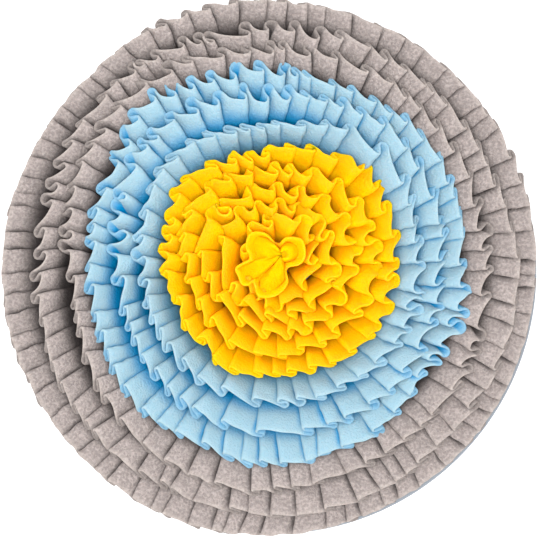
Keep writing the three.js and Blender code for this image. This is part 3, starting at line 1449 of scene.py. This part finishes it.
    def uneven(self, steps: int) -> Array:
        """Give how far the cut edge runs out or in along the strip.

        Args:
            steps: How many points a pleat has in a row.

        Returns:
            The distance in mm for each point of a row.
        """
        marks = np.arange(self.ring.pleats)[:, None] * steps + [0, PleatLine.face_steps]
        place = np.arange(self.ring.pleats * steps)
        return np.interp(place, marks.ravel(), self.cut.ravel(), period=len(place))

    def crumpled(self, points: Array, across: float) -> Array:
        """Give the cloth its soft unevenness, more of it towards the free edge.

        Args:
            points: Points in mm.
            across: 0 at the sewn edge, 1 at the free edge.

        Returns:
            The moved points.
        """
        shift = np.zeros_like(points)
        for wave, (east, north, up, phase) in enumerate(self.waves):
            pitch = self.wave_pitch[0] + self.wave_pitch[1] * wave
            course = points @ np.array([east, north, up]) * pitch + phase * math.pi
            shift[:, wave % 3] += np.sin(course)
        return points + shift * self.wave_height * smooth(*self.wave_span, across)

    def shading(self, across: Array, angle: Array, gaps: Array) -> dict[str, Array]:
        """Work out the painted shade and the edge tone that the fleece's colour reads.

        Args:
            across: The rows' places, 0 at the sewn edge, 1 at the free edge.
            angle: The columns' directions in radians.
            gaps: Painted shade of each point in the gap beside its pleat.

        Returns:
            Painted shade in the folds, gaps and pockets, and nearness to the cut edge, as
            grids by name.
        """
        # Painted shade: pockets under the next ring's edge and gaps beside each pleat take the fold
        # colour, less of it towards the free edge.
        kept = 1.0 - self.bared * smooth(*self.bared_span, across)
        clear = lerp(*self.pocket_reach, looseness(angle))[:, None]
        deep = 1.0 - smooth(self.pocket_start, 1.0, across / clear)
        depth = self.ring.shaded * np.maximum(deep, gaps * kept)
        rim = smooth(self.ring.shape.rim, self.edge_full, across)
        return {"depth": depth, "edge": np.broadcast_to(rim, gaps.shape)}

    def declare(self, piece: bpy.types.Object, rests_on: list[str]) -> None:
        """Attach the strip to the root body and hide the CAD part that it stands for.

        Args:
            piece: The strip.
            rests_on: What it lies on; not used.
        """
        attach(piece, "root")
        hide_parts(self.ring.name)


@dataclass(frozen=True)
class RimMark:
    """A place on the rosette's rim, in mm.

    Attributes:
        east: How far east of the rosette's heart it lies.
        north: How far north of it.
        up: How far the rim rises there over the height that the course gives it.
    """

    east: float
    north: float
    up: float


@dataclass(frozen=True)
class Crease:
    """A crease between two petals.

    Attributes:
        at: Its direction in degrees.
        spread: Half its width in degrees.
        depth: How deep it is, from 0 to 1.
    """

    at: float
    spread: float
    depth: float

    def along(self, angle: Array) -> Array:
        """Give how deep the cloth lies in this crease, from 0 to 1, in each direction."""
        return self.depth * np.exp(-((turn_apart(angle, self.at) / math.radians(self.spread)) ** 2))


@dataclass(frozen=True)
class PetalMark:
    """A mark on the way across the rosette's strip, for a petal and for a crease.

    Attributes:
        across: Its place, 0 at the sewn edge, 1 at the rim.
        petal: Its height on a petal, as a share of the rosette's height.
        crease: The same in a crease.
    """

    across: float
    petal: float
    crease: float


@dataclass
class Rosette(Frill):
    """The innermost strip, which closes over the middle in petals with a turned-out rim.

    Attributes:
        row_count: Rows of points up to where the cut edge rounds off.
        columns: Columns of points round the rosette.
        heart: Where the petals meet, east and north of the mat's middle, in mm.
        rim: Marks round the rim.
        rim_rounding: How often the line through them is evened, and over how many columns.
        fan_rounding: The same for the directions of the columns at the heart.
        creases: The creases between the petals.
        course: Marks on the way across the strip.
        lip: Width of the rim's turned-out lip and of its crown, in mm.
        filling: How far out the petals have reached at their highest, from 0 to 1.
        throat: Radius of the closed throat at its narrowest and above that, in mm.
        turning: Where the petals start to face the rim's marks, and where they do.
        lifting: Where the rim's own ups and downs begin, and where they are full.
        calm: How much of the way across stays free of soft unevenness.
        cut_width: Width of the strip as cut, in mm.
        fan_share: Area of the fan that it is cut as, against width by length.
        throat_shade: Where the painted shade of the throat begins to fade, and where it is gone.
        valley: Where across the strip the valley inside the lip lies.
        valley_shade: Depth of the painted shade in it.
        valley_width: Half the width of that shade across the strip.
        crease_shade: Depth of the painted shade in the creases.
        crease_sharpness: How narrow that shade is against the crease.
        crease_fade: Where it begins to fade towards the rim, and where it is gone.
        edge_start: Where the edge tone begins, here partly painted shade.
    """

    row_count: int = 36
    columns: int = 480
    heart: tuple[float, float] = (9.5, 12.0)
    rim: tuple[RimMark, ...] = (
        RimMark(21.9, 5.1, 2.5),
        RimMark(19.3, 13.2, 3.0),
        RimMark(12.2, 17.3, 3.0),
        RimMark(4.1, 16.3, 2.0),
        RimMark(-1.0, 10.2, -1.0),
        RimMark(-5.1, 11.2, 0.0),
        RimMark(-14.2, 19.4, 2.5),
        RimMark(-22.4, 22.4, 3.5),
        RimMark(-28.5, 20.4, 4.0),
        RimMark(-31.5, 15.3, 4.0),
        RimMark(-32.6, 7.1, 4.0),
        RimMark(-28.5, -1.0, 4.0),
        RimMark(-29.0, -6.0, 4.0),
        RimMark(-36.6, -8.0, 3.5),
        RimMark(-44.3, -11.5, 2.5),
        RimMark(-40.7, -17.3, 2.0),
        RimMark(-37.6, -26.4, 1.5),
        RimMark(-31.5, -27.5, 2.0),
        RimMark(-26.0, -22.9, 3.0),
        RimMark(-24.4, -27.4, 3.0),
        RimMark(-23.4, -36.6, 2.5),
        RimMark(-14.2, -39.7, 2.5),
        RimMark(-4.1, -36.6, 2.5),
        RimMark(4.1, -30.5, 2.5),
        RimMark(7.1, -24.4, 2.5),
        RimMark(5.5, -19.6, 1.5),
        RimMark(4.3, -14.0, 0.0),
        RimMark(6.1, -11.2, 0.0),
        RimMark(16.3, -8.1, 2.0),
        RimMark(21.4, -3.0, 2.5),
    )
    rim_rounding: tuple[int, int] = (4, 3)
    fan_rounding: tuple[int, int] = (12, 5)
    creases: tuple[Crease, ...] = (
        Crease(105, 11, 1.0),
        Crease(184, 12, 0.3),
        Crease(229, 8, 0.8),
        Crease(290, 14, 1.0),
    )
    course: tuple[PetalMark, ...] = (
        PetalMark(across=0.0, petal=0.0, crease=0.0),
        PetalMark(across=0.28, petal=0.78, crease=0.76),
        PetalMark(across=0.36, petal=0.88, crease=0.82),
        PetalMark(across=0.6, petal=1.0, crease=0.79),
        PetalMark(across=0.84, petal=0.82, crease=0.7),
        PetalMark(across=0.93, petal=0.96, crease=0.78),
        PetalMark(across=1.0, petal=1.0, crease=0.88),
    )
    lip: tuple[float, float] = (6.0, 2.6)
    filling: float = 0.5
    throat: tuple[float, float] = (1.3, 3.4)
    turning: tuple[float, float] = (0.28, 0.75)
    lifting: tuple[float, float] = (0.45, 0.9)
    calm: float = 0.3
    cut_width: float = 40.0
    fan_share: float = 0.75
    throat_shade: tuple[float, float] = (0.34, 0.5)
    valley: float = 0.84
    valley_shade: float = 0.6
    valley_width: float = 0.06
    crease_shade: float = 0.9
    crease_sharpness: float = 1.5
    crease_fade: tuple[float, float] = (0.85, 1.0)
    edge_start: float = 0.93

    def build(self, material: bpy.types.Material) -> bpy.types.Object:
        """Make the strip.

        Args:
            material: Its fleece.

        Returns:
            The new object.
        """
        across, half = FLEECE.rows(self.row_count)
        rim = self.rim_line()
        angle = self.fanned(rim)
        points = np.stack([self.ring_of(share, rim, angle) for share in across], axis=1)
        steps = np.linalg.norm(np.roll(points[:, -1], -1, axis=0) - points[:, -1], axis=1)
        self.strip_length = float(steps.sum())
        values = self.shading(across, angle, np.zeros(points.shape[:2]))
        return ClothMesh(self.ring.name + "_fleece", points * MM, half * MM, values).build(material)

    def shading(self, across: Array, angle: Array, gaps: Array) -> dict[str, Array]:
        """Work out the painted shade and the edge tone that the fleece's colour reads.

        Args:
            across: The rows' places, 0 at the sewn edge, 1 at the free edge.
            angle: The columns' directions at the heart, in radians.
            gaps: Painted shade of pleat gaps, which the rosette has none of.

        Returns:
            Painted shade in the throat, the valley and the creases, and nearness to the cut
            edge, as grids by name.
        """
        # Painted shade in the throat, in the valley inside the lip and in the creases between
        # petals.
        throat = 1.0 - smooth(*self.throat_shade, across)
        away = (across - self.valley) / self.valley_width
        valley = self.valley_shade * np.exp(-(away**2))
        crease = self.creased(angle)[:, None] ** self.crease_sharpness
        fading = self.crease_shade * (1.0 - smooth(*self.crease_fade, across))
        depth = np.maximum(np.maximum(throat, valley), crease * fading)
        edge = smooth(self.edge_start, self.edge_full, across)
        return {"depth": np.maximum(depth, gaps), "edge": np.broadcast_to(edge, depth.shape)}

    def declare(self, piece: bpy.types.Object, rests_on: list[str]) -> None:
        """Attach the strip to the root body and hide the CAD part that it stands for.

        Args:
            piece: The strip.
            rests_on: What it lies on; not used.
        """
        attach(piece, "root")
        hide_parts(self.ring.name)

    def rim_line(self) -> Array:
        """Draw the rim smoothly through its marks.

        Returns:
            A row of east, north and up from the heart, in mm, for each column.
        """
        marks = np.array([(mark.east, mark.north, mark.up) for mark in self.rim])
        way = np.linalg.norm(np.roll(marks, -1, axis=0) - marks, axis=1)
        place = np.concatenate([[0.0], np.cumsum(way)[:-1]])
        along = np.arange(self.columns) * way.sum() / self.columns
        whole = way.sum()
        line = [np.interp(along, place, column, period=whole) for column in marks.T]
        line = np.stack(line, axis=1)
        return self.evened(line, *self.rim_rounding)

    def fanned(self, rim: Array) -> Array:
        """Share out the directions at the heart, always turning the same way.

        Args:
            rim: The rim, as rim_line gives it.

        Returns:
            A direction in radians for each column.
        """
        angle = np.unwrap(np.arctan2(rim[:, 1], rim[:, 0]))
        even = np.arange(self.columns) * TURN / self.columns
        return even + self.evened(angle - even, *self.fan_rounding)

    @staticmethod
    def evened(values: Array, passes: int, reach: int) -> Array:
        """Even out values along the columns.

        Args:
            values: One row for each column of points.
            passes: How often to do it.
            reach: How many columns away the values lie that each is evened with.

        Returns:
            The evened values.
        """
        for _ in range(passes):
            beside = np.roll(values, reach, axis=0), np.roll(values, -reach, axis=0)
            values = (values + beside[0] + beside[1]) / 3.0
        return values

    def creased(self, angle: Array) -> Array:
        """Give how deep the cloth lies in a crease, from 0 to 1, in each direction."""
        return np.clip(sum(crease.along(angle) for crease in self.creases), 0.0, 1.0)

    def ring_of(self, across: float, rim: Array, angle: Array) -> Array:
        """Place the points of one line round the rosette.

        Args:
            across: 0 at the sewn edge, 1 at the free edge.
            rim: The rim, as rim_line gives it.
            angle: The direction of each column at the heart, in radians.

        Returns:
            The points in mm.
        """
        low = float(self.stack.at(self.index, "sewn_height", angle).mean())
        high = float(self.stack.at(self.index, "free_height", angle).mean())
        crease = self.creased(angle)
        petal = self.along([mark.petal for mark in self.course], across)
        level = lerp(petal, self.along([mark.crease for mark in self.course], across), crease)
        reach = np.hypot(rim[:, 0], rim[:, 1])
        out_marks = np.stack(
            [
                np.full_like(reach, self.throat[0]),
                np.full_like(reach, self.throat[1]),
                self.filling * (reach - self.lip[0]),
                reach - self.lip[0],
                reach - self.lip[1],
                reach,
            ]
        )
        places = [mark.across for mark in self.course[1:]]
        closing = smooth(0.0, places[0], across)
        towards = np.stack([np.cos(angle), np.sin(angle)], axis=1)
        share = max(across, places[0])
        out = np.array([np.interp(share, places, column) for column in out_marks.T])
        outward = lerp(towards, rim[:, :2] / reach[:, None], smooth(*self.turning, across))
        outward /= np.linalg.norm(outward, axis=1)[:, None]
        base = np.array(self.ring.sewn_at) + self.ring.sewn * towards
        plan = lerp(base, np.array(self.heart) + out[:, None] * outward, closing)
        height = low + (high - low) * level + rim[:, 2] * smooth(*self.lifting, across)
        return self.crumpled(np.column_stack([plan, height]), max(across - self.calm, 0.0))

    def along(self, levels: list[float], across: float) -> float:
        """Follow a smooth line through a level at each mark of the course.

        Args:
            levels: The level at each mark.
            across: 0 at the sewn edge, 1 at the rim.

        Returns:
            The level there.
        """
        last = len(levels) - 1
        place = np.interp(across, [mark.across for mark in self.course], np.arange(last + 1))
        first = int(min(place, last - 1))
        share = place - first
        start, end = levels[first], levels[first + 1]
        tangent_in = 0.5 * (end - levels[max(first - 1, 0)])
        tangent_out = 0.5 * (levels[min(first + 2, last)] - start)
        square, cube = share * share, share**3
        return (
            (2.0 * cube - 3.0 * square + 1.0) * start
            + (cube - 2.0 * square + share) * tangent_in
            + (3.0 * square - 2.0 * cube) * end
            + (cube - square) * tangent_out
        )


# ---------------------------------------------------------------------------------------
# Backing and studio
# ---------------------------------------------------------------------------------------


@dataclass
class Backing:
    """The round backing cloth with its turned hem, in mm.

    Attributes:
        radius: Radius where the disc is widest.
        wide_towards: The direction in which it is widest, in degrees.
        narrow_by: How far its edge lies inside that radius on the far side.
        thickness: Thickness of the cloth at its thickest.
        sides: How many points go round it.
        hem: Width of the turned hem.
        bend: How far in from the edge the hem's fold is rounded.
        blunt: How far the fold goes towards a sharp edge, from 0 to 1.
        sunk: How deep the stitches pull the cloth in.
        sunk_width: Half the width of that groove.
        reaches: Radii of the rings of points, closer together at the hem.
    """

    radius: float = 250.0
    wide_towards: float = -45.0
    narrow_by: float = 7.0
    thickness: float = 2.0
    sides: int = 240
    hem: float = 12.0
    bend: float = 1.1
    blunt: float = 0.97
    sunk: float = 0.35
    sunk_width: float = 0.9
    reaches: tuple[float, ...] = (
        20, 60, 100, 140, 180, 215, 236, 237.4, 238.2, 239.6, 243, 247, 248.9, 249.7, 250,
    )

    def build(self, material: bpy.types.Material) -> bpy.types.Object:
        """Make the backing.

        Args:
            material: Its cloth.

        Returns:
            The new object.
        """
        reach = np.array(self.reaches)
        below, above = self.sides_of_cloth(reach)
        reach = np.concatenate([reach, reach[::-1]])[:, None]
        height = np.concatenate([below, above[::-1]])[:, None]
        angle = np.arange(self.sides) * TURN / self.sides
        inset = reach - reach / self.radius * self.narrowing(angle)
        height = np.broadcast_to(height, inset.shape)
        points = np.stack([inset * np.cos(angle), inset * np.sin(angle), height], axis=2)
        middles = [(0.0, 0.0, 0.0), (0.0, 0.0, self.thickness)]
        points = np.concatenate([points.reshape(-1, 3), middles])
        return new_piece("backing_disc", points * MM, self.faces(len(reach)), material, True)

    def sides_of_cloth(self, reach: Array) -> tuple[Array, Array]:
        """Give the heights of the underside and of the upper side.

        Args:
            reach: Distances from the middle.

        Returns:
            The two heights at each distance.
        """
        out = np.clip((self.radius - reach) / self.bend, 0.0, 1.0)
        middle = self.thickness / 2.0
        half = middle * np.sqrt(1.0 - (1.0 - out) ** 2 * self.blunt)
        seam = self.radius - self.hem
        groove = self.sunk * np.exp(-(((reach - seam) / self.sunk_width) ** 2))
        return middle - half + groove, middle + half - groove

    def faces(self, rings: int) -> list[list[int]]:
        """Join the rings of points, and close both sides at their middle points.

        Args:
            rings: How many rings there are.

        Returns:
            The numbers of each face's points.
        """
        side = np.arange(self.sides)
        after = (side + 1) % self.sides
        first = np.arange(rings - 1)[:, None] * self.sides
        upper = first + self.sides
        wall = np.stack([first + side, first + after, upper + after, upper + side], axis=-1)
        middle = rings * self.sides
        last = middle - self.sides
        under = np.stack([np.full_like(side, middle), after, side], axis=-1)
        over = np.stack([np.full_like(side, middle + 1), last + side, last + after], axis=-1)
        caps = np.stack([under, over], axis=1)
        return wall.reshape(-1, 4).tolist() + caps.reshape(-1, 3).tolist()

    def narrowing(self, angle: Array) -> Array:
        """Give how far the edge lies inside the full radius, in mm, in each direction."""
        return self.narrow_by * 0.5 * (1.0 - np.cos(turn_apart(angle, self.wide_towards)))

    def declare(self, piece: bpy.types.Object) -> None:
        """Attach the backing to the root body and hide the CAD part that it stands for.

        Args:
            piece: The backing.
        """
        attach(piece, "root")
        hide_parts("backing")


@dataclass
class HemSeam:
    """The stitches that hold the backing's turned hem, in mm.

    Attributes:
        backing: The backing that they are sewn through.
        height: Height of the cloth's surface at the seam.
        stitch: Length of a stitch.
        between: Distance from one stitch to the next.
        thread: Half the thread's thickness.
        sides: How many sides the thread has.
        arch: Rise of the thread over the surface at even steps along a stitch.
    """

    backing: Backing
    height: float = 1.75
    stitch: float = 4.2
    between: float = 1.1
    thread: float = 0.26
    sides: int = 6
    arch: tuple[float, ...] = (-0.35, 0.12, 0.22, 0.12, -0.35)

    def build(self, material: bpy.types.Material) -> bpy.types.Object:
        """Make the stitches as one mesh.

        Args:
            material: Their thread.

        Returns:
            The new object.
        """
        radius = self.backing.radius - self.backing.hem
        count = round(TURN * radius / (self.stitch + self.between))
        start = np.arange(count) * TURN / count
        along = start[:, None] + np.linspace(0.0, self.stitch / radius, len(self.arch))
        narrow = radius / self.backing.radius * self.backing.narrowing(along)
        turn = np.arange(self.sides) * TURN / self.sides
        reach = (radius - narrow)[..., None] + self.thread * np.cos(turn)
        height = self.height + np.array(self.arch)[:, None] + self.thread * np.sin(turn)
        height = np.broadcast_to(height, reach.shape)
        east, north = np.cos(along)[..., None], np.sin(along)[..., None]
        points = np.stack([reach * east, reach * north, height], axis=-1).reshape(-1, 3)
        return new_piece("hem_stitches", points * MM, self.faces(count), material, False)

    def faces(self, count: int) -> list[list[int]]:
        """Wrap each stitch in faces and close both its ends.

        Args:
            count: How many stitches there are.

        Returns:
            The numbers of each face's points.
        """
        steps = len(self.arch)
        side = np.arange(self.sides)
        after = (side + 1) % self.sides
        first = np.arange(steps - 1)[:, None] * self.sides
        upper = first + self.sides
        wall = np.stack([first + side, upper + side, upper + after, first + after], axis=-1)
        offsets = np.arange(count) * steps * self.sides
        caps = (side, (steps - 1) * self.sides + side[::-1])
        faces = (wall.reshape(1, -1, 4) + offsets[:, None, None]).reshape(-1, 4).tolist()
        return faces + [(cap + offset).tolist() for offset in offsets for cap in caps]

    def declare(self, piece: bpy.types.Object) -> None:
        """Attach the stitches to the root body."""
        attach(piece, "root")


@dataclass
class Studio:
    """The floor, the soft light and the camera, in metres.

    Attributes:
        floor_side: Side of the square floor.
        floor_tone: How light the floor is, from 0 to 1.
        floor_roughness: How matt it is, from 0 to 1.
        camera_height: Height of the camera over the floor.
        camera_far: How far the camera sees.
        view_width: Width of the floor that the camera takes in.
        view_centre: The point of the floor that it looks at.
        sensor: Width of its sensor, in mm.
        lamp_side: Side of the square lamp.
        lamp_height: Height of the lamp over the floor.
        lamp_at: The lamp's place over the floor.
        lamp_power: Its power in watts.
        sky: Strength of the even light from all round.
    """

    floor_side: float = 4.0
    floor_tone: float = 0.9
    floor_roughness: float = 0.9
    camera_height: float = 2.0
    camera_far: float = 20.0
    view_width: float = 0.5065
    view_centre: tuple[float, float] = (-0.0009, -0.0014)
    sensor: float = 36.0
    lamp_side: float = 1.1
    lamp_height: float = 2.3
    lamp_at: tuple[float, float] = (-0.1, -0.1)
    lamp_power: float = 62.0
    sky: float = 1.44

    def build(self) -> None:
        """Set up the floor, the lights and the camera."""
        scene = bpy.context.scene
        half = self.floor_side / 2.0
        corners = np.array([(-half, -half, 0), (half, -half, 0), (half, half, 0), (-half, half, 0)])
        floor = new_piece("floor", corners, [[0, 1, 2, 3]], self.floor_finish(), False)
        scene.collection.objects.link(self.lamp())
        scene.world = self.room()
        scene.view_settings.view_transform = "Standard"
        scene.camera = self.camera()

    def floor_finish(self) -> bpy.types.Material:
        """Build the floor's pale matt material.

        Returns:
            The finished material.
        """
        sheet = NodeSheet("pale_floor")
        tone = (self.floor_tone, self.floor_tone, self.floor_tone, 1.0)
        sheet.fix({"Base Color": tone, "Roughness": self.floor_roughness})
        return sheet.material

    def lamp(self) -> bpy.types.Object:
        """Make the square lamp, turned to the middle of the mat.

        Returns:
            The lamp.
        """
        light = bpy.data.lights.new("soft_box", "AREA")
        light.shape = "SQUARE"
        light.size = self.lamp_side
        light.energy = self.lamp_power
        lamp = bpy.data.objects.new("soft_box", light)
        lamp.location = (*self.lamp_at, self.lamp_height)
        lamp.rotation_euler = (-lamp.location).to_track_quat("-Z", "Y").to_euler()
        return lamp

    def room(self) -> bpy.types.World:
        """Make the even white light from all round.

        Returns:
            The world that gives it.
        """
        world = bpy.data.worlds.new("soft_room")
        world.use_nodes = True
        background = world.node_tree.nodes["Background"]
        background.inputs["Color"].default_value = (1, 1, 1, 1)
        background.inputs["Strength"].default_value = self.sky
        return world

    def camera(self) -> bpy.types.Object:
        """Place the camera straight above the mat.

        Returns:
            The camera.
        """
        lens = bpy.data.cameras.new("camera")
        lens.sensor_width = self.sensor
        lens.lens = self.sensor * self.camera_height / self.view_width
        lens.clip_end = self.camera_far
        camera = bpy.data.objects.new("camera", lens)
        camera.location = (*self.view_centre, self.camera_height)
        bpy.context.scene.collection.objects.link(camera)
        return camera


def report(piece: bpy.types.Object) -> None:
    """Log a finished piece and its number of faces."""
    LOG.info("%s: %d faces", piece.name, len(piece.data.polygons))


def main() -> None:
    """Build the studio, then the mat piece by piece."""
    logging.basicConfig(level=logging.INFO, format="%(name)s: %(message)s")
    Studio().build()
    backing = Backing()
    disc = backing.build(BACKING_FINISH.material())
    backing.declare(disc)
    report(disc)
    seam = HemSeam(backing)
    stitches = seam.build(THREAD_FINISH.material())
    seam.declare(stitches)
    report(stitches)
    cloths = {cloth: finish.material() for cloth, finish in FINISHES.items()}
    stack = Stack(RINGS)
    under = [disc.name]
    for index, ring in enumerate(RINGS):
        kind = Rosette if ring is RINGS[-1] else Frill
        frill = kind(index, ring, stack)
        piece = frill.build(cloths[ring.cloth])
        frill.declare(piece, under)
        under = [disc.name, piece.name]
        report(piece)


if __name__ == "__main__":
    main()
